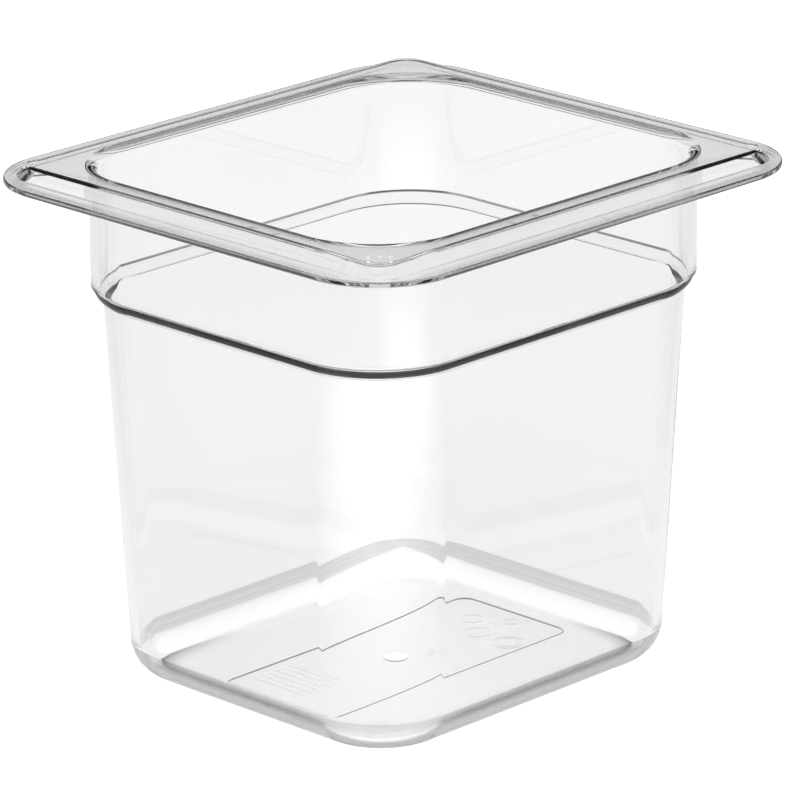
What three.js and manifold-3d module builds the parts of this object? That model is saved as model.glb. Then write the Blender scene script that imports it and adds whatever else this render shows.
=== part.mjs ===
// Deli food pan, one-sixth gastronorm size, 6 in deep: one injection moulding in clear polycarbonate.
// Millimetres, +Z up. The origin is the middle of the underside, on the surface the pan stands on.
//
// The pan is a shell of even thickness. Going down from the top it has
//   - a deck: the flat top of the rim, narrow along the sides and wide at the four corners
//   - a riser and a flange: the rim steps down outside the deck and ends in a thin flat lip
//   - a collar: the upright band below the rim
//   - a shoulder: the step where stacked pans stop
//   - a well: the tapered lower body, closed by a floor with a shallow recess in its underside
// Every one of them is a rounded rectangle in plan, so the shell is a loft of such rings.

import * as THREE from 'three';
import Module from 'manifold-3d';
import { mergeVertices } from 'three/addons/utils/BufferGeometryUtils.js';

// Driving dimensions
const LENGTH = 176;
const WIDTH = 162;
const HEIGHT = 152;
const WALL = 2.5;

// Rim. An inset is measured inwards in plan from the outer edge of the lip.
const LIP_CORNER = 24.5;
const LIP_THICKNESS = 1.7;
const LIP_DROP = 3.3;
const LIP_ROUND = 0.5;
const GUTTER_INSET = 7.2;
const GUTTER_DROP = 3.6;
const GUTTER_CORNER = 9.0;
const DECK_INSET = 9.7;
const DECK_CORNER = 6.2;
const DECK_EDGE_ROUND = 0.8;
const DECK_THICKNESS = 2.3;
const MOUTH_ROUND = 2.9;
const CHANNEL_INSET = 11.8;
const CHANNEL_CORNER = 5.2;
const REST_INSET = 8.4;
const REST_CORNER = 8.0;

// Collar
const COLLAR_INSET = 16.0;
const COLLAR_CORNER = 27.3;
const COLLAR_FILLET = 1.0;

// Shoulder. It turns in through SHOULDER_TURN about its centre and then meets the well. On the outside a
// small chamfer marks its top, and one round leads from there to a sharp corner with the well.
// Its rings keep the collar's corner radius, so the step is a little wider at the four corners.
const SHOULDER_TOP = 116.6;
const SHOULDER_ROUND = 4.8;
const SHOULDER_TURN = THREE.MathUtils.degToRad(59);
const CHAMFER_HEIGHT = 0.7;
const CHAMFER_DEPTH = 0.55;

// Well
const WELL_FOOT_INSET = 23.9;
const WELL_FOOT_CORNER = 23.9;
const FOOT_ROUND = 11;

// Underside
const RECESS_LENGTH = 97;
const RECESS_WIDTH = 42;
const RECESS_DEPTH = 0.5;
const RECESS_CORNER = 4;
const GATE_RADIUS = 4;
const GATE_HEIGHT = 0.25;

// Size mark: a row of short bars sunk into one corner of the deck
const MARK_BARS = 3;
const MARK_LENGTH = 5.0;
const MARK_BREADTH = 0.9;
const MARK_PITCH = 3.0;
const MARK_DEPTH = 0.4;
const MARK_FROM_CORNER = 12.6;

// Facets
const CORNER_STEPS = 8;
const SMALL_ROUND_STEPS = 2;
const ROUND_STEPS = 4;
const GATE_FACETS = 24;
const QUARTER = Math.PI / 2;

// Points of a mesh closer than this are one point
const SAME_POINT = 1e-4;

const halfLength = LENGTH / 2;
const halfWidth = WIDTH / 2;

// A station is one ring of the loft: how far in from the lip, how high, and how round its corners are.
// A ring that isn't parallel to the lip has an inset of its own at the two ends of the length.
function station(inset, z, corner, endInset = inset) {
  return { inset, z, corner, endInset };
}

// Stations along a circular bend in the section. Angles are measured from the outward direction
// (towards smaller inset) and turn upwards. cornerAt gives the corner radius at an inset.
function bend(centreInset, centreZ, radius, fromAngle, toAngle, steps, cornerAt) {
  const stations = [];
  for (let i = 0; i <= steps; i += 1) {
    const angle = fromAngle + (toAngle - fromAngle) * (i / steps);
    const inset = centreInset - radius * Math.cos(angle);
    stations.push(station(inset, centreZ + radius * Math.sin(angle), cornerAt(inset)));
  }
  return stations;
}

// Corner radii of rings that run parallel to a given ring
function parallelTo(ring) {
  return (inset) => ring.corner + ring.inset - inset;
}

// The outside of the well: a straight line from the shoulder's corner down to the foot, taken to z = 0
const shoulderCentreInset = COLLAR_INSET + SHOULDER_ROUND;
const wellTop = {
  inset: shoulderCentreInset - SHOULDER_ROUND * Math.cos(SHOULDER_TURN),
  z: SHOULDER_TOP - SHOULDER_ROUND * Math.sin(SHOULDER_TURN),
};

// The round under the chamfer starts upright and ends on the well
const roundTop = { inset: COLLAR_INSET + CHAMFER_DEPTH, z: SHOULDER_TOP - CHAMFER_HEIGHT };
const roundTurn = 2 * Math.atan2(wellTop.inset - roundTop.inset, roundTop.z - wellTop.z);
const roundRadius = (roundTop.z - wellTop.z) / Math.sin(roundTurn);

const taper = Math.atan2(WELL_FOOT_INSET - wellTop.inset, wellTop.z);
const footCentre = {
  inset: WELL_FOOT_INSET - FOOT_ROUND * Math.tan(taper) + FOOT_ROUND / Math.cos(taper),
  z: FOOT_ROUND,
};

const alongCollar = parallelTo(station(COLLAR_INSET, SHOULDER_TOP, COLLAR_CORNER));
const alongFoot = parallelTo(station(
  footCentre.inset - FOOT_ROUND * Math.cos(taper),
  footCentre.z - FOOT_ROUND * Math.sin(taper),
  WELL_FOOT_CORNER,
));
const shoulderOutside = () => COLLAR_CORNER;
const shoulderInside = () => COLLAR_CORNER - WALL;

// Underside of the floor and the outside of the well, from the middle of the recess up to the shoulder
function wellOutside() {
  const side = halfWidth - RECESS_WIDTH / 2;
  const end = halfLength - RECESS_LENGTH / 2;
  return [
    station(side, RECESS_DEPTH, RECESS_CORNER, end),
    station(side - RECESS_DEPTH, 0, RECESS_CORNER + RECESS_DEPTH, end - RECESS_DEPTH),
    ...bend(footCentre.inset, footCentre.z, FOOT_ROUND, -QUARTER, -taper, ROUND_STEPS, alongFoot),
  ];
}

// Shoulder and collar, from the sharp corner up to the fillet under the deck
function collarOutside() {
  const underDeck = HEIGHT - DECK_THICKNESS;
  return [
    ...bend(roundTop.inset + roundRadius, roundTop.z, roundRadius, -roundTurn, 0, ROUND_STEPS,
      shoulderOutside),
    station(COLLAR_INSET, SHOULDER_TOP, COLLAR_CORNER),
    ...bend(COLLAR_INSET - COLLAR_FILLET, underDeck - COLLAR_FILLET, COLLAR_FILLET,
      Math.PI, QUARTER, SMALL_ROUND_STEPS, alongCollar),
  ];
}

// The underside of the rim is a channel below the deck, then the flat face that rests on a well's rail
function rimUnderside() {
  return [
    station(CHANNEL_INSET, HEIGHT - DECK_THICKNESS, CHANNEL_CORNER),
    station(REST_INSET, HEIGHT - LIP_DROP - LIP_THICKNESS, REST_CORNER),
  ];
}

function lip() {
  const lipTop = HEIGHT - LIP_DROP;
  const restZ = lipTop - LIP_THICKNESS;
  const alongLip = parallelTo(station(0, lipTop, LIP_CORNER));
  return [
    ...bend(LIP_ROUND, restZ + LIP_ROUND, LIP_ROUND, -QUARTER, 0, SMALL_ROUND_STEPS, alongLip),
    ...bend(LIP_ROUND, lipTop - LIP_ROUND, LIP_ROUND, 0, QUARTER, SMALL_ROUND_STEPS, alongLip),
  ];
}

// Gutter, riser, deck and the rounded mouth, ending on the inside of the collar
function rimTop() {
  const alongDeck = parallelTo(station(DECK_INSET, HEIGHT, DECK_CORNER));
  const mouthInset = COLLAR_INSET + WALL;
  return [
    station(GUTTER_INSET, HEIGHT - GUTTER_DROP, GUTTER_CORNER),
    ...bend(DECK_INSET + DECK_EDGE_ROUND, HEIGHT - DECK_EDGE_ROUND, DECK_EDGE_ROUND,
      0, QUARTER, SMALL_ROUND_STEPS, alongDeck),
    ...bend(mouthInset - MOUTH_ROUND, HEIGHT - MOUTH_ROUND, MOUTH_ROUND,
      QUARTER, Math.PI, ROUND_STEPS, alongCollar),
  ];
}

// Inside of the shoulder, the well and the floor: the outside moved in by one wall
function inside() {
  const shoulderInner = SHOULDER_ROUND - WALL;
  return [
    ...bend(shoulderCentreInset, SHOULDER_TOP, shoulderInner, 0, -SHOULDER_TURN, ROUND_STEPS,
      shoulderInside),
    ...bend(wellTop.inset, wellTop.z, WALL, Math.PI - SHOULDER_TURN, Math.PI - taper,
      SMALL_ROUND_STEPS, shoulderInside),
    ...bend(footCentre.inset, footCentre.z, FOOT_ROUND - WALL, -taper, -QUARTER, ROUND_STEPS, alongFoot),
  ];
}

// Points of one ring, anticlockwise seen from above
function ringPoints({ inset, z, corner, endInset }) {
  const points = [];
  const centreX = halfLength - endInset - corner;
  const centreY = halfWidth - inset - corner;
  const quadrants = [[1, 1], [-1, 1], [-1, -1], [1, -1]];
  quadrants.forEach(([signX, signY], quadrant) => {
    for (let i = 0; i <= CORNER_STEPS; i += 1) {
      const angle = (quadrant + i / CORNER_STEPS) * QUARTER;
      const x = signX * centreX + corner * Math.cos(angle);
      const y = signY * centreY + corner * Math.sin(angle);
      points.push([x, y, z]);
    }
  });
  return points;
}

// Closed shell through the rings, capped at both ends by a fan
function loft(stations) {
  const rings = stations.map(ringPoints);
  const count = rings[0].length;
  const positions = rings.flat(2);
  const triangles = [];
  for (let row = 0; row + 1 < rings.length; row += 1) {
    for (let i = 0; i < count; i += 1) {
      const next = (i + 1) % count;
      const [a, b] = [row * count + i, row * count + next];
      triangles.push(a, b, b + count, a, b + count, a + count);
    }
  }
  const firstMiddle = positions.length / 3;
  positions.push(0, 0, stations[0].z);
  positions.push(0, 0, stations.at(-1).z);
  const lastRing = (rings.length - 1) * count;
  for (let i = 0; i < count; i += 1) {
    const next = (i + 1) % count;
    triangles.push(firstMiddle, next, i);
    triangles.push(firstMiddle + 1, lastRing + i, lastRing + next);
  }
  const geometry = new THREE.BufferGeometry();
  geometry.setAttribute('position', new THREE.Float32BufferAttribute(positions, 3));
  geometry.setIndex(triangles);
  return geometry;
}

const wasm = await Module();
wasm.setup();

function toSolid(geometry) {
  const bare = geometry.clone();
  bare.deleteAttribute('normal');
  bare.deleteAttribute('uv');
  const merged = mergeVertices(bare, SAME_POINT);
  return new wasm.Manifold(new wasm.Mesh({
    numProp: 3,
    vertProperties: new Float32Array(merged.attributes.position.array),
    triVerts: new Uint32Array(merged.index.array),
  }));
}

function toGeometry(solid) {
  const mesh = solid.getMesh();
  const geometry = new THREE.BufferGeometry();
  geometry.setAttribute('position', new THREE.Float32BufferAttribute(mesh.vertProperties, 3));
  geometry.setIndex(new THREE.Uint32BufferAttribute(mesh.triVerts, 1));
  return geometry;
}

// Bars in a row across the diagonal of the deck's corner at -X, -Y
function sizeMark() {
  const outward = new THREE.Vector3(-1, -1, 0).normalize();
  const along = new THREE.Vector3(1, -1, 0).normalize();
  const corner = new THREE.Vector3(-halfLength + MARK_FROM_CORNER, -halfWidth + MARK_FROM_CORNER, HEIGHT);
  const bars = [];
  for (let i = 0; i < MARK_BARS; i += 1) {
    const offset = (i - (MARK_BARS - 1) / 2) * MARK_PITCH;
    const bar = new THREE.BoxGeometry(MARK_BREADTH, MARK_LENGTH, 2 * MARK_DEPTH);
    bar.rotateZ(Math.atan2(outward.y, outward.x) - QUARTER);
    const middle = corner.clone().addScaledVector(along, offset).addScaledVector(outward, -MARK_LENGTH / 2);
    bar.translate(middle.x, middle.y, middle.z);
    bars.push(bar);
  }
  return bars;
}

// The stub left by the moulding gate, a low disc in the middle of the underside's recess
function gateStub() {
  const disc = new THREE.CylinderGeometry(GATE_RADIUS, GATE_RADIUS, 2 * GATE_HEIGHT, GATE_FACETS);
  disc.rotateX(QUARTER);
  disc.translate(0, 0, RECESS_DEPTH);
  return disc;
}

function panGeometry() {
  const outside = [...wellOutside(), ...collarOutside(), ...rimUnderside(), ...lip()];
  const stations = [...outside, ...rimTop(), ...inside()];
  let solid = toSolid(loft(stations));
  sizeMark().forEach((bar) => {
    solid = solid.subtract(toSolid(bar));
  });
  return toGeometry(solid.add(toSolid(gateStub())));
}

const polycarbonate = new THREE.MeshStandardMaterial({
  color: 0xf4f6f6,
  roughness: 0.06,
  metalness: 0,
  transparent: true,
  opacity: 0.25,
});

const geometry = panGeometry();
geometry.computeVertexNormals();
const pan = new THREE.Mesh(geometry, polycarbonate);
pan.name = 'pan';

const foodPan = new THREE.Group();
foodPan.name = 'deli_food_pan';
foodPan.add(pan);

export default foodPan;
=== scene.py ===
"""Deli food pan, one-sixth gastronorm size, 6 in deep, in clear polycarbonate.

One injection moulding. Its section is drawn once as a row of stations and lofted round the pan,
because every level of the pan is a rounded rectangle. Metres, +Z up, the frame of the CAD model.
"""
import math

import bmesh
import bpy
from mathutils import Matrix, Vector


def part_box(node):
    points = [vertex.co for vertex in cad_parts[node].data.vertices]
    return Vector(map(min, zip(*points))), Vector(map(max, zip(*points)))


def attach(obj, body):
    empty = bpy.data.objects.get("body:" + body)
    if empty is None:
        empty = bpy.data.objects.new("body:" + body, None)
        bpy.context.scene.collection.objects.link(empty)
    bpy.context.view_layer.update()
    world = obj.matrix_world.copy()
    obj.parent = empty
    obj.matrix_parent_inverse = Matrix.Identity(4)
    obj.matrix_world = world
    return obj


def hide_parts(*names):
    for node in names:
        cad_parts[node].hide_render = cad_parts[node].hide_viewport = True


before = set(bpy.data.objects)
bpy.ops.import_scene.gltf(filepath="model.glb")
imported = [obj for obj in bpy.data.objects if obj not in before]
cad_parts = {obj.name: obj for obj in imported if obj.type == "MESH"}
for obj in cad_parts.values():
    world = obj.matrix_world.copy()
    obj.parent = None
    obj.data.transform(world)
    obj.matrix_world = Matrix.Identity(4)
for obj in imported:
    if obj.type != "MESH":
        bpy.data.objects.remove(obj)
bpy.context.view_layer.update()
scene = bpy.context.scene

# ---------------------------------------------------------------- sizes
MM = 0.001
low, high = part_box("pan")
HALF_LENGTH = (high.x - low.x) / 2
HALF_WIDTH = (high.y - low.y) / 2
HEIGHT = high.z
WALL = 2.5 * MM

# Rim. An inset is measured inwards in plan from the outer edge of the lip.
LIP_CORNER = 24.5 * MM
LIP_THICKNESS = 1.7 * MM
LIP_DROP = 3.3 * MM
LIP_ROUND = 0.5 * MM
GUTTER_INSET = 7.2 * MM
GUTTER_DROP = 3.6 * MM
GUTTER_CORNER = 9.0 * MM
DECK_INSET = 9.7 * MM
DECK_CORNER = 6.2 * MM
DECK_EDGE_ROUND = 0.8 * MM
DECK_THICKNESS = 2.3 * MM
MOUTH_ROUND = 2.9 * MM
CHANNEL_INSET = 11.8 * MM
CHANNEL_CORNER = 5.2 * MM
REST_INSET = 8.4 * MM
REST_CORNER = 8.0 * MM

COLLAR_INSET = 16.0 * MM
COLLAR_CORNER = 27.3 * MM
COLLAR_FILLET = 1.0 * MM

SHOULDER_TOP = 116.6 * MM
SHOULDER_ROUND = 4.8 * MM
SHOULDER_TURN = math.radians(59)
CHAMFER_HEIGHT = 0.7 * MM
CHAMFER_DEPTH = 0.55 * MM

WELL_FOOT_INSET = 23.9 * MM
WELL_FOOT_CORNER = 23.9 * MM
FOOT_ROUND = 11 * MM

RECESS_LENGTH = 97 * MM
RECESS_WIDTH = 42 * MM
RECESS_DEPTH = 0.5 * MM
RECESS_CORNER = 4 * MM
RECESS_EDGE = 0.18 * MM  # width in plan of the slope round it
GATE_RADIUS = 4 * MM
GATE_HEIGHT = 0.25 * MM

MARK_BARS = 3
MARK_LENGTH = 5.0 * MM
MARK_BREADTH = 0.9 * MM
MARK_PITCH = 3.0 * MM
MARK_DEPTH = 0.4 * MM
MARK_FROM_CORNER = 12.6 * MM
MARK_TURN = math.radians(45)

# Marks sunk into the recess: rings as (x, y, radius) in millimetres, and rows of short bars
RINGS = ((29, -3, 3.6), (29, -15, 3.4), (29, -15, 4.6), (36, 6, 3.0), (9.7, -7.3, 1.3), (42, -4, 2.0))
RING_FACETS = 32
STROKE = 0.3 * MM
ENGRAVING = 0.07 * MM
BAR_ROWS = 6
BAR_COLUMNS = 9
BAR_LENGTH = 1.3 * MM
BAR_PITCH = 2.2 * MM
BAR_ROW_PITCH = 2.8 * MM
BARS_START_X = -40 * MM
BARS_START_Y = -2 * MM

# Facets of the loft
CORNER_STEPS = 32
SMALL_ROUND_STEPS = 6
ROUND_STEPS = 14
GATE_FACETS = 48
QUARTER = math.pi / 2
SHARP_ANGLE = math.radians(28)


# ---------------------------------------------------------------- section
def station(inset, z, corner, end_inset=None):
    """One ring of the loft: how far in from the lip, how high, and how round its corners are.
    A ring that isn't parallel to the lip has an inset of its own at the two ends of the length."""
    return inset, z, corner, inset if end_inset is None else end_inset


def bend(centre_inset, centre_z, radius, start, end, steps, corner_at):
    """Stations along a round in the section. Angles turn up from the outward direction."""
    stations = []
    for i in range(steps + 1):
        angle = start + (end - start) * i / steps
        inset = centre_inset - radius * math.cos(angle)
        stations.append(station(inset, centre_z + radius * math.sin(angle), corner_at(inset)))
    return stations


def parallel_to(inset, corner):
    """Corner radii of rings that run parallel to a ring."""
    return lambda other: corner + inset - other


def all_with(corner):
    """Corner radii of rings that all keep one radius."""
    return lambda inset: corner


shoulder_centre = COLLAR_INSET + SHOULDER_ROUND
well_top_inset = shoulder_centre - SHOULDER_ROUND * math.cos(SHOULDER_TURN)
well_top_z = SHOULDER_TOP - SHOULDER_ROUND * math.sin(SHOULDER_TURN)
round_top_inset = COLLAR_INSET + CHAMFER_DEPTH
round_top_z = SHOULDER_TOP - CHAMFER_HEIGHT
round_turn = 2 * math.atan2(well_top_inset - round_top_inset, round_top_z - well_top_z)
round_radius = (round_top_z - well_top_z) / math.sin(round_turn)
taper = math.atan2(WELL_FOOT_INSET - well_top_inset, well_top_z)
foot_centre = WELL_FOOT_INSET - FOOT_ROUND * math.tan(taper) + FOOT_ROUND / math.cos(taper)
along_collar = parallel_to(COLLAR_INSET, COLLAR_CORNER)
along_foot = parallel_to(foot_centre - FOOT_ROUND * math.cos(taper), WELL_FOOT_CORNER)


def underside_and_foot():
    """From the middle of the recess in the underside to the top of the foot's round."""
    side = HALF_WIDTH - RECESS_WIDTH / 2
    end = HALF_LENGTH - RECESS_LENGTH / 2
    return [
        station(side, RECESS_DEPTH, RECESS_CORNER, end),
        station(side - RECESS_EDGE, 0, RECESS_CORNER + RECESS_EDGE, end - RECESS_EDGE),
        *bend(foot_centre, FOOT_ROUND, FOOT_ROUND, -QUARTER, -taper, ROUND_STEPS, along_foot),
    ]


def collar_outside():
    """The shoulder turns out from the top of the well, and the collar runs up to the deck. The loft's first
    row here, from the top of the foot, is the upright wall of the well."""
    fillet_z = HEIGHT - DECK_THICKNESS - COLLAR_FILLET
    return [
        *bend(round_top_inset + round_radius, round_top_z, round_radius, -round_turn, 0, ROUND_STEPS,
              all_with(COLLAR_CORNER)),
        station(COLLAR_INSET, SHOULDER_TOP, COLLAR_CORNER),
        *bend(COLLAR_INSET - COLLAR_FILLET, fillet_z, COLLAR_FILLET, math.pi, QUARTER,
              SMALL_ROUND_STEPS, along_collar),
    ]


def rim():
    """Channel under the deck, rest face, lip, gutter, riser, deck and the rounded mouth."""
    rest_z = HEIGHT - LIP_DROP - LIP_THICKNESS
    lip_top = HEIGHT - LIP_DROP
    along_lip = parallel_to(0, LIP_CORNER)
    mouth = COLLAR_INSET + WALL
    return [
        station(CHANNEL_INSET, HEIGHT - DECK_THICKNESS, CHANNEL_CORNER),
        station(REST_INSET, rest_z, REST_CORNER),
        *bend(LIP_ROUND, rest_z + LIP_ROUND, LIP_ROUND, -QUARTER, 0, SMALL_ROUND_STEPS, along_lip),
        *bend(LIP_ROUND, lip_top - LIP_ROUND, LIP_ROUND, 0, QUARTER, SMALL_ROUND_STEPS, along_lip),
        station(GUTTER_INSET, HEIGHT - GUTTER_DROP, GUTTER_CORNER),
        *bend(DECK_INSET + DECK_EDGE_ROUND, HEIGHT - DECK_EDGE_ROUND, DECK_EDGE_ROUND, 0, QUARTER,
              SMALL_ROUND_STEPS, parallel_to(DECK_INSET, DECK_CORNER)),
        *bend(mouth - MOUTH_ROUND, HEIGHT - MOUTH_ROUND, MOUTH_ROUND, QUARTER, math.pi,
              ROUND_STEPS, along_collar),
    ]


def inside():
    """The inner face, one wall in from the outer one, down to the floor."""
    in_shoulder = all_with(COLLAR_CORNER - WALL)
    return [
        *bend(shoulder_centre, SHOULDER_TOP, SHOULDER_ROUND - WALL, 0, -SHOULDER_TURN,
              ROUND_STEPS, in_shoulder),
        *bend(well_top_inset, well_top_z, WALL, math.pi - SHOULDER_TURN, math.pi - taper,
              ROUND_STEPS, in_shoulder),
        *bend(foot_centre, FOOT_ROUND, FOOT_ROUND - WALL, -taper, -QUARTER, ROUND_STEPS, along_foot),
    ]


# ---------------------------------------------------------------- mesh
def ring_points(inset, z, corner, end_inset):
    """Points of one ring, anticlockwise seen from above."""
    centre_x = HALF_LENGTH - end_inset - corner
    centre_y = HALF_WIDTH - inset - corner
    points = []
    for quadrant, (sign_x, sign_y) in enumerate(((1, 1), (-1, 1), (-1, -1), (1, -1))):
        for i in range(CORNER_STEPS + 1):
            angle = (quadrant + i / CORNER_STEPS) * QUARTER
            points.append((sign_x * centre_x + corner * math.cos(angle),
                           sign_y * centre_y + corner * math.sin(angle), z))
    return points


def loft(name, stations):
    """Closed shell through the rings, with a flat cap on the first and the last."""
    points = []
    for level in stations:
        points.extend(ring_points(*level))
    count = 4 * (CORNER_STEPS + 1)
    faces = [tuple(reversed(range(count)))]
    for row in range(len(stations) - 1):
        for i in range(count):
            a, b = row * count + i, row * count + (i + 1) % count
            faces.append((a, b, b + count, a + count))
    last = (len(stations) - 1) * count
    faces.append(tuple(range(last, last + count)))
    mesh = bpy.data.meshes.new(name)
    mesh.from_pydata(points, [], faces)
    mesh.validate()
    pan = bpy.data.objects.new(name, mesh)
    scene.collection.objects.link(pan)
    return pan


def prism(name, outline, low_z, high_z):
    """Closed upright prism on an outline of (x, y) points, anticlockwise."""
    count = len(outline)
    points = [(x, y, z) for z in (low_z, high_z) for x, y in outline]
    faces = [tuple(reversed(range(count))), tuple(range(count, 2 * count))]
    for i in range(count):
        j = (i + 1) % count
        faces.append((i, j, j + count, i + count))
    mesh = bpy.data.meshes.new(name)
    mesh.from_pydata(points, [], faces)
    return mesh


def circle(centre_x, centre_y, radius, steps):
    """Corners of a round outline."""
    turns = [2 * math.pi * i / steps for i in range(steps)]
    return [(centre_x + radius * math.cos(turn), centre_y + radius * math.sin(turn)) for turn in turns]


def bar(centre_x, centre_y, length, breadth, turn):
    """Corners of a straight bar whose length lies along a turn."""
    along = Vector((math.cos(turn), math.sin(turn)))
    across = Vector((-along.y, along.x))
    middle = Vector((centre_x, centre_y))
    signs = ((-1, -1), (1, -1), (1, 1), (-1, 1))
    return [tuple(middle + along * length / 2 * a + across * breadth / 2 * b) for a, b in signs]


def combine(target, cutter_mesh, operation):
    """Cut a mesh out of the target, or join it on."""
    cutter = bpy.data.objects.new(cutter_mesh.name, cutter_mesh)
    scene.collection.objects.link(cutter)
    modifier = target.modifiers.new("combine", "BOOLEAN")
    modifier.operation = operation
    modifier.solver = "EXACT"
    modifier.object = cutter
    evaluated = target.evaluated_get(bpy.context.evaluated_depsgraph_get())
    result = bpy.data.meshes.new_from_object(evaluated)
    target.modifiers.clear()
    old = target.data
    target.data = result
    bpy.data.meshes.remove(old)
    bpy.data.objects.remove(cutter)
    bpy.data.meshes.remove(cutter_mesh)


def size_mark():
    """Bars in a row across the diagonal of the deck's corner at -X, -Y."""
    slant = math.cos(MARK_TURN)
    for i in range(MARK_BARS):
        offset = (i - (MARK_BARS - 1) / 2) * MARK_PITCH
        x = -HALF_LENGTH + MARK_FROM_CORNER + slant * (offset + MARK_LENGTH / 2)
        y = -HALF_WIDTH + MARK_FROM_CORNER + slant * (MARK_LENGTH / 2 - offset)
        yield prism(f"size_bar_{i}", bar(x, y, MARK_LENGTH, MARK_BREADTH, MARK_TURN),
                    HEIGHT - MARK_DEPTH, HEIGHT + MARK_DEPTH)


def gate_stub():
    """The stub left by the moulding gate, a low disc in the middle of the recess."""
    outline = circle(0, 0, GATE_RADIUS, GATE_FACETS)
    return prism("gate_stub", outline, RECESS_DEPTH - GATE_HEIGHT, RECESS_DEPTH + GATE_HEIGHT)


def ring(name, centre_x, centre_y, radius, steps):
    """Closed ring of square section, sunk into the recess."""
    low_z, high_z = RECESS_DEPTH - ENGRAVING, RECESS_DEPTH + ENGRAVING
    outer = radius + STROKE
    loops = []
    for z, reach in ((low_z, radius), (low_z, outer), (high_z, outer), (high_z, radius)):
        loops.append([(x, y, z) for x, y in circle(centre_x, centre_y, reach, steps)])
    faces = []
    for k in range(4):
        for i in range(steps):
            j = (i + 1) % steps
            n = (k + 1) % 4
            faces.append((k * steps + i, n * steps + i, n * steps + j, k * steps + j))
    mesh = bpy.data.meshes.new(name)
    mesh.from_pydata([point for loop in loops for point in loop], [], faces)
    work = bmesh.new()
    work.from_mesh(mesh)
    bmesh.ops.recalc_face_normals(work, faces=work.faces)
    work.to_mesh(mesh)
    work.free()
    return mesh


def underside_marks():
    """Plain rings and short bars where a moulder puts marks. They say nothing."""
    for i, (x, y, radius) in enumerate(RINGS):
        yield ring(f"ring_{i}", x * MM, y * MM, radius * MM, RING_FACETS)
    low_z, high_z = RECESS_DEPTH - ENGRAVING, RECESS_DEPTH + ENGRAVING
    for row in range(BAR_ROWS):
        for column in range(BAR_COLUMNS):
            x = BARS_START_X + row * BAR_ROW_PITCH
            y = BARS_START_Y + column * BAR_PITCH
            outline = bar(x, y, BAR_LENGTH, STROKE, QUARTER)
            yield prism(f"bar_{row}_{column}", outline, low_z, high_z)


# ---------------------------------------------------------------- material
IOR = 1.585
ABSORPTION = 8.0  # per metre of plastic
VOLUME_GREY = 0.5
SATIN_ROUGHNESS = 0.12

# Tints of the clear plastic, where the clouds of the melt are thick and where they are thin
MELT_SCALE = 9
MELT_THICK = (0.975, 0.977, 0.977, 1)
MELT_THIN = (0.99, 0.992, 0.992, 1)
GRAIN_SCALE = 900
GRAIN_THICK = (0.93, 0.932, 0.932, 1)
GRAIN_THIN = (0.99, 0.992, 0.992, 1)
CLOUDS_START = 0.3
CLOUDS_END = 0.7
CLOUDS_DETAIL = 3

FLOW_SCALE = 28
FLOW_DEPTH = 0.012 * MM
TEXTURE_SCALE = 1500
TEXTURE_DEPTH = 0.004 * MM
BUMP_DETAIL = 2

# Painted shade: the grained face's tint is painted from clear to grey as it turns away from the view, by
# Layer Weight's facing
FACING_CLEAR = 0.36
FACING_GREY = 0.5
PAINTED_SHADE_GREY = (0.25, 0.25, 0.25, 1)

# Sockets of a Mix node that mixes colours
MIX_COLOR_A = 6
MIX_COLOR_B = 7
MIX_COLOR_RESULT = 2


def wire(owner, source, output, target, socket):
    """Link two nodes of a material or world."""
    owner.node_tree.links.new(source.outputs[output], target.inputs[socket])


def blend_colours(nodes, start, start_colour, end, end_colour):
    """Ramp from one colour to another."""
    ramp = nodes.new("ShaderNodeValToRGB")
    first, last = ramp.color_ramp.elements
    first.position = start
    first.color = start_colour
    last.position = end
    last.color = end_colour
    return ramp


def polycarbonate(name, roughness):
    """Clear plastic with a faint absorption, so that long paths along the wall come out darker."""
    material = bpy.data.materials.new(name)
    material.use_nodes = True
    nodes = material.node_tree.nodes
    shader = nodes["Principled BSDF"]
    shader.inputs["Roughness"].default_value = roughness
    shader.inputs["IOR"].default_value = IOR
    shader.inputs["Transmission Weight"].default_value = 1.0
    absorption = nodes.new("ShaderNodeVolumeAbsorption")
    absorption.inputs["Color"].default_value = (VOLUME_GREY, VOLUME_GREY, VOLUME_GREY, 1)
    absorption.inputs["Density"].default_value = ABSORPTION / (1 - VOLUME_GREY)
    wire(material, absorption, "Volume", nodes["Material Output"], "Volume")
    place = nodes.new("ShaderNodeTexCoord")
    return material, nodes, shader, place


def clouds(material, nodes, place, scale, thick, thin):
    """Cloudy variation of the clear colour, as the melt leaves it."""
    noise = nodes.new("ShaderNodeTexNoise")
    noise.inputs["Scale"].default_value = scale
    noise.inputs["Detail"].default_value = CLOUDS_DETAIL
    colours = blend_colours(nodes, CLOUDS_START, thick, CLOUDS_END, thin)
    wire(material, place, "Object", noise, "Vector")
    wire(material, noise, "Fac", colours, "Fac")
    return colours


def bump(material, nodes, shader, place, scale, depth):
    """Fine relief on the surface."""
    noise = nodes.new("ShaderNodeTexNoise")
    noise.inputs["Scale"].default_value = scale
    noise.inputs["Detail"].default_value = BUMP_DETAIL
    relief = nodes.new("ShaderNodeBump")
    relief.inputs["Distance"].default_value = depth
    wire(material, place, "Object", noise, "Vector")
    wire(material, noise, "Fac", relief, "Height")
    wire(material, relief, "Normal", shader, "Normal")


def polished():
    """Everything above the foot, and the inside, from polished steel: long soft waves where the melt
    flowed."""
    material, nodes, shader, place = polycarbonate("clear_polycarbonate", 0.0)
    colours = clouds(material, nodes, place, MELT_SCALE, MELT_THICK, MELT_THIN)
    wire(material, colours, "Color", shader, "Base Color")
    bump(material, nodes, shader, place, FLOW_SCALE, FLOW_DEPTH)
    return material


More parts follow.
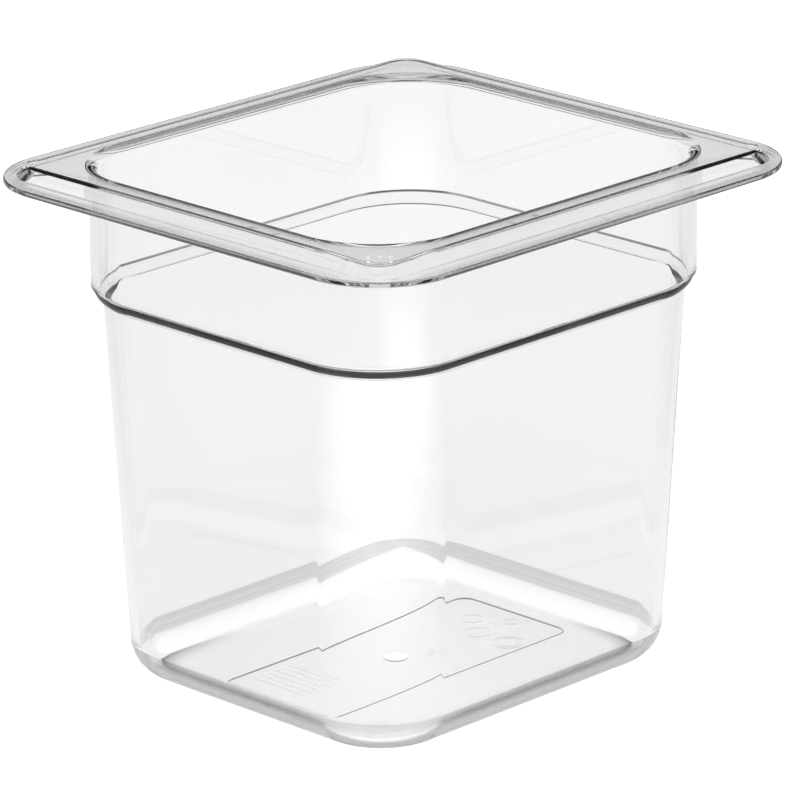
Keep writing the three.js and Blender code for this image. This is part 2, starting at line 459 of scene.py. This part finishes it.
def satin():
    """The foot and the underside, which the mould leaves finely grained. The tint is painted darker at
    grazing angles:
    painted shade that stands in for the light the grain scatters where the surface turns away."""
    material, nodes, shader, place = polycarbonate("satin_polycarbonate", SATIN_ROUGHNESS)
    colours = clouds(material, nodes, place, GRAIN_SCALE, GRAIN_THICK, GRAIN_THIN)
    # Painted shade: the tint is darkened where the surface turns away from the view
    weight = nodes.new("ShaderNodeLayerWeight")
    weight.inputs["Blend"].default_value = 0.5
    painted_shade_ramp = blend_colours(nodes, FACING_CLEAR, (1, 1, 1, 1), FACING_GREY, PAINTED_SHADE_GREY)
    wire(material, weight, "Facing", painted_shade_ramp, "Fac")
    tint_and_painted_shade = nodes.new("ShaderNodeMix")
    tint_and_painted_shade.data_type = "RGBA"
    tint_and_painted_shade.blend_type = "MULTIPLY"
    tint_and_painted_shade.inputs["Factor"].default_value = 1.0
    wire(material, colours, "Color", tint_and_painted_shade, MIX_COLOR_A)
    wire(material, painted_shade_ramp, "Color", tint_and_painted_shade, MIX_COLOR_B)
    wire(material, tint_and_painted_shade, MIX_COLOR_RESULT, shader, "Base Color")
    bump(material, nodes, shader, place, TEXTURE_SCALE, TEXTURE_DEPTH)
    return material


# ---------------------------------------------------------------- the pan
foot = underside_and_foot()
pan = loft("food_pan", [*foot, *collar_outside(), *rim(), *inside()])
pan.data.materials.append(polished())
pan.data.materials.append(satin())
# The loft's first faces are the cap of the recess, the rest of the underside and the foot's round.
# The upright wall of the well, the next row, stays polished.
grained_faces = 1 + (len(foot) - 1) * 4 * (CORNER_STEPS + 1)
for polygon in pan.data.polygons[:grained_faces]:
    polygon.material_index = 1

for cutter in size_mark():
    combine(pan, cutter, "DIFFERENCE")
combine(pan, gate_stub(), "UNION")
for cutter in underside_marks():
    combine(pan, cutter, "DIFFERENCE")

for polygon in pan.data.polygons:
    polygon.use_smooth = True
pan.data.set_sharp_from_angle(angle=SHARP_ANGLE)
weighted = pan.modifiers.new("even_normals", "WEIGHTED_NORMAL")
weighted.keep_sharp = True
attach(pan, "root")
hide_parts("pan")

# ---------------------------------------------------------------- floor and light
# The camera sees a plain pale floor. What shines up through the pan is a lit table just above it,
# brighter in front of the pan's corner and dimmer to both sides of the line of sight.
REACH = 6.0
FLOOR_Z = -0.3 * MM
TABLE_Z = -0.2 * MM
UNDER_Z = -0.1 * MM
FLOOR_GREY = 0.3
FLOOR_GLOW = 0.92
TABLE_GREY = 0.15
TABLE_GLOW = 0.9
SIDE_GLOW = 0.82
SIDE_START = 0.11
SIDE_END = 0.24
FRONT_GLOW = 1.4
FRONT_DISTANCE = 0.235
FRONT_SIZE = (0.33, 0.2, 1)
FRONT_FULL = 0.8  # part of the way to the middle of the bright pool where it is at its full glow
TABLE_TURN = math.radians(-45)

# Right under the pan the table is brighter, apart from a dim line along the edge where the foot meets it.
# The line is placed by the distance in from the outline of that contact, grown by SHADE_EDGE. Where two
# numbers are given, the dimming changes between them.
UNDER_GLOW = 1.3
FOOT_SHADE = 0.05
SHADE_EDGE = 2.4 * MM
SHADE_RISE = (-0.2 * MM, 0.3 * MM)
SHADE_FALL = (0.8 * MM, 7 * MM)
SHADE_FALL_POWER = 0.5
SHADE_FRONT = (-0.7, -0.1)  # 0 across the middle of the pan, 2 at the front corner, -2 at the back
SHADE_CORNER = (14 * MM, 36 * MM)  # distance from the front corner, which stays clear
UNDER_STEP = 0.6 * MM
UNDER_REACH = 18 * MM

# Light of the studio by the sine of the elevation: pale low down, then dark with a grey panel in it,
# and soft overhead
STUDIO_BANDS = ((0.001, 1.0), (0.13, 1.0), (0.15, 0.03), (0.24, 0.03), (0.27, 0.5), (0.37, 0.5), (0.4, 0.03),
                (0.52, 0.03), (0.58, 0.75), (0.999, 0.75))


def glowing(name, grey, glow):
    """Matt surface that also gives off light."""
    material = bpy.data.materials.new(name)
    material.use_nodes = True
    shader = material.node_tree.nodes["Principled BSDF"]
    shader.inputs["Base Color"].default_value = (grey, grey, grey, 1)
    shader.inputs["Roughness"].default_value = 0.9
    shader.inputs["Specular IOR Level"].default_value = 0.0
    shader.inputs["Emission Color"].default_value = (1, 1, 1, 1)
    shader.inputs["Emission Strength"].default_value = glow
    return material


def stage_mesh(name, points, faces, material):
    """Object of the stage, which isn't part of the pan."""
    mesh = bpy.data.meshes.new(name)
    mesh.from_pydata(points, [], faces)
    mesh.materials.append(material)
    stage = bpy.data.objects.new(name, mesh)
    scene.collection.objects.link(stage)
    return stage


def sheet(name, z, material):
    """Wide flat sheet at a height."""
    points = [(-REACH, -REACH, z), (REACH, -REACH, z), (REACH, REACH, z), (-REACH, REACH, z)]
    return stage_mesh(name, points, [(0, 1, 2, 3)], material)


def unseen(stage):
    """The camera and the shadows pass through it, so it is seen only in the pan."""
    stage.visible_camera = False
    stage.visible_shadow = False


def table_material():
    """Glow of the table: its own, less to both sides, and a bright pool in front of the pan's corner."""
    material = glowing("lit_table", TABLE_GREY, TABLE_GLOW)
    nodes = material.node_tree.nodes
    place = nodes.new("ShaderNodeTexCoord")
    turned = nodes.new("ShaderNodeMapping")
    turned.vector_type = "TEXTURE"
    turned.inputs["Rotation"].default_value = (0, 0, TABLE_TURN)
    wire(material, place, "Object", turned, "Vector")

    split = nodes.new("ShaderNodeSeparateXYZ")
    wire(material, turned, "Vector", split, "Vector")
    sideways = nodes.new("ShaderNodeMath")
    sideways.operation = "ABSOLUTE"
    wire(material, split, "X", sideways, "Value")
    fall = nodes.new("ShaderNodeMapRange")
    fall.inputs["From Min"].default_value = SIDE_START
    fall.inputs["From Max"].default_value = SIDE_END
    fall.inputs["To Min"].default_value = TABLE_GLOW
    fall.inputs["To Max"].default_value = SIDE_GLOW
    wire(material, sideways, "Value", fall, "Value")

    near = nodes.new("ShaderNodeMapping")
    near.vector_type = "TEXTURE"
    near.inputs["Location"].default_value = (0, -FRONT_DISTANCE, 0)
    near.inputs["Scale"].default_value = FRONT_SIZE
    wire(material, turned, "Vector", near, "Vector")
    pool = nodes.new("ShaderNodeTexGradient")
    pool.gradient_type = "SPHERICAL"
    wire(material, near, "Vector", pool, "Vector")
    front = nodes.new("ShaderNodeMapRange")
    front.inputs["From Max"].default_value = FRONT_FULL
    front.inputs["To Max"].default_value = FRONT_GLOW
    wire(material, pool, "Fac", front, "Value")

    total = nodes.new("ShaderNodeMath")
    total.operation = "ADD"
    wire(material, fall, "Result", total, 0)
    wire(material, front, "Result", total, 1)
    wire(material, total, "Value", nodes["Principled BSDF"], "Emission Strength")
    return material


def between(value, start, end):
    """0 at the start, 1 at the end, straight between them."""
    return min(max((value - start) / (end - start), 0), 1)


contact_x = HALF_LENGTH - foot_centre + SHADE_EDGE
contact_y = HALF_WIDTH - foot_centre + SHADE_EDGE
contact_corner = along_foot(foot_centre) + SHADE_EDGE


def light_under(x, y):
    """Light from the table under the pan at a point, as a share of the table's."""
    beyond_x = abs(x) - contact_x + contact_corner
    beyond_y = abs(y) - contact_y + contact_corner
    past_corner = math.hypot(max(beyond_x, 0), max(beyond_y, 0))
    depth = contact_corner - past_corner - min(max(beyond_x, beyond_y), 0)
    line = between(depth, *SHADE_RISE) * (1 - between(depth, *SHADE_FALL) ** SHADE_FALL_POWER)
    frontness = between(-(x / contact_x + y / contact_y), *SHADE_FRONT)
    from_corner = between(math.hypot(x + contact_x, y + contact_y), *SHADE_CORNER)
    return UNDER_GLOW * (1 - (1 - FOOT_SHADE) * line * frontness * from_corner)


def table_under_pan():
    """Fine grid under the pan that holds the light at each of its points."""
    half_x = contact_x + UNDER_REACH
    half_y = contact_y + UNDER_REACH
    across = int(2 * half_x / UNDER_STEP)
    deep = int(2 * half_y / UNDER_STEP)
    points = []
    for j in range(deep + 1):
        for i in range(across + 1):
            points.append((-half_x + i * UNDER_STEP, -half_y + j * UNDER_STEP, UNDER_Z))
    faces = []
    for j in range(deep):
        for i in range(across):
            first = j * (across + 1) + i
            faces.append((first, first + 1, first + across + 2, first + across + 1))
    material = glowing("table_under_pan", TABLE_GREY, 1.0)
    nodes = material.node_tree.nodes
    stored = nodes.new("ShaderNodeAttribute")
    stored.attribute_name = "light"
    wire(material, stored, "Fac", nodes["Principled BSDF"], "Emission Strength")
    table = stage_mesh("table_under_pan", points, faces, material)
    attribute = table.data.attributes.new("light", "FLOAT", "POINT")
    for i, (x, y, z) in enumerate(points):
        attribute.data[i].value = TABLE_GLOW * light_under(x, y)
    return table


def studio():
    """World lit in bands of elevation."""
    world = bpy.data.worlds.new("studio")
    world.use_nodes = True
    nodes = world.node_tree.nodes
    direction = nodes.new("ShaderNodeTexCoord")
    split = nodes.new("ShaderNodeSeparateXYZ")
    bands = nodes.new("ShaderNodeValToRGB")
    wire(world, direction, "Generated", split, "Vector")
    wire(world, split, "Z", bands, "Fac")
    wire(world, bands, "Color", nodes["Background"], "Color")
    stops = bands.color_ramp.elements
    for position, glow in STUDIO_BANDS:
        stop = stops.new(position)
        stop.color = (glow, glow, glow, 1)
    # The two stops that a new ramp has
    stops.remove(stops[0])
    stops.remove(stops[-1])
    return world


floor = sheet("floor", FLOOR_Z, glowing("pale_floor", FLOOR_GREY, FLOOR_GLOW))
floor.visible_transmission = False
floor.visible_glossy = False
unseen(sheet("lit_table", TABLE_Z, table_material()))
unseen(table_under_pan())
scene.world = studio()

# ---------------------------------------------------------------- camera
AZIMUTH = math.radians(-45.6)
ELEVATION = math.radians(18.55)
ROLL = math.radians(-0.38)
DISTANCE = 1.709
LENS = 270.4  # millimetres, as Blender has it
AIM = Vector((1.8 * MM, 0, 78.9 * MM))

back = Vector((math.sin(AZIMUTH) * math.cos(ELEVATION),
               -math.cos(AZIMUTH) * math.cos(ELEVATION),
               math.sin(ELEVATION)))
camera = bpy.data.objects.new("camera", bpy.data.cameras.new("camera"))
scene.collection.objects.link(camera)
camera.data.lens = LENS
camera.data.clip_start = 0.1
camera.data.clip_end = 30
camera.matrix_world = Matrix.Translation(AIM + back * DISTANCE) @ (
    (-back).to_track_quat("-Z", "Y").to_matrix().to_4x4() @ Matrix.Rotation(ROLL, 4, "Z"))
scene.camera = camera

# High contrast, and enough bounces for the many faces that a line of sight crosses
VIEW_GAMMA = 0.8
BOUNCES = 24
scene.view_settings.view_transform = "Standard"
scene.view_settings.gamma = VIEW_GAMMA
scene.cycles.max_bounces = BOUNCES
scene.cycles.transmission_bounces = BOUNCES
scene.cycles.glossy_bounces = BOUNCES
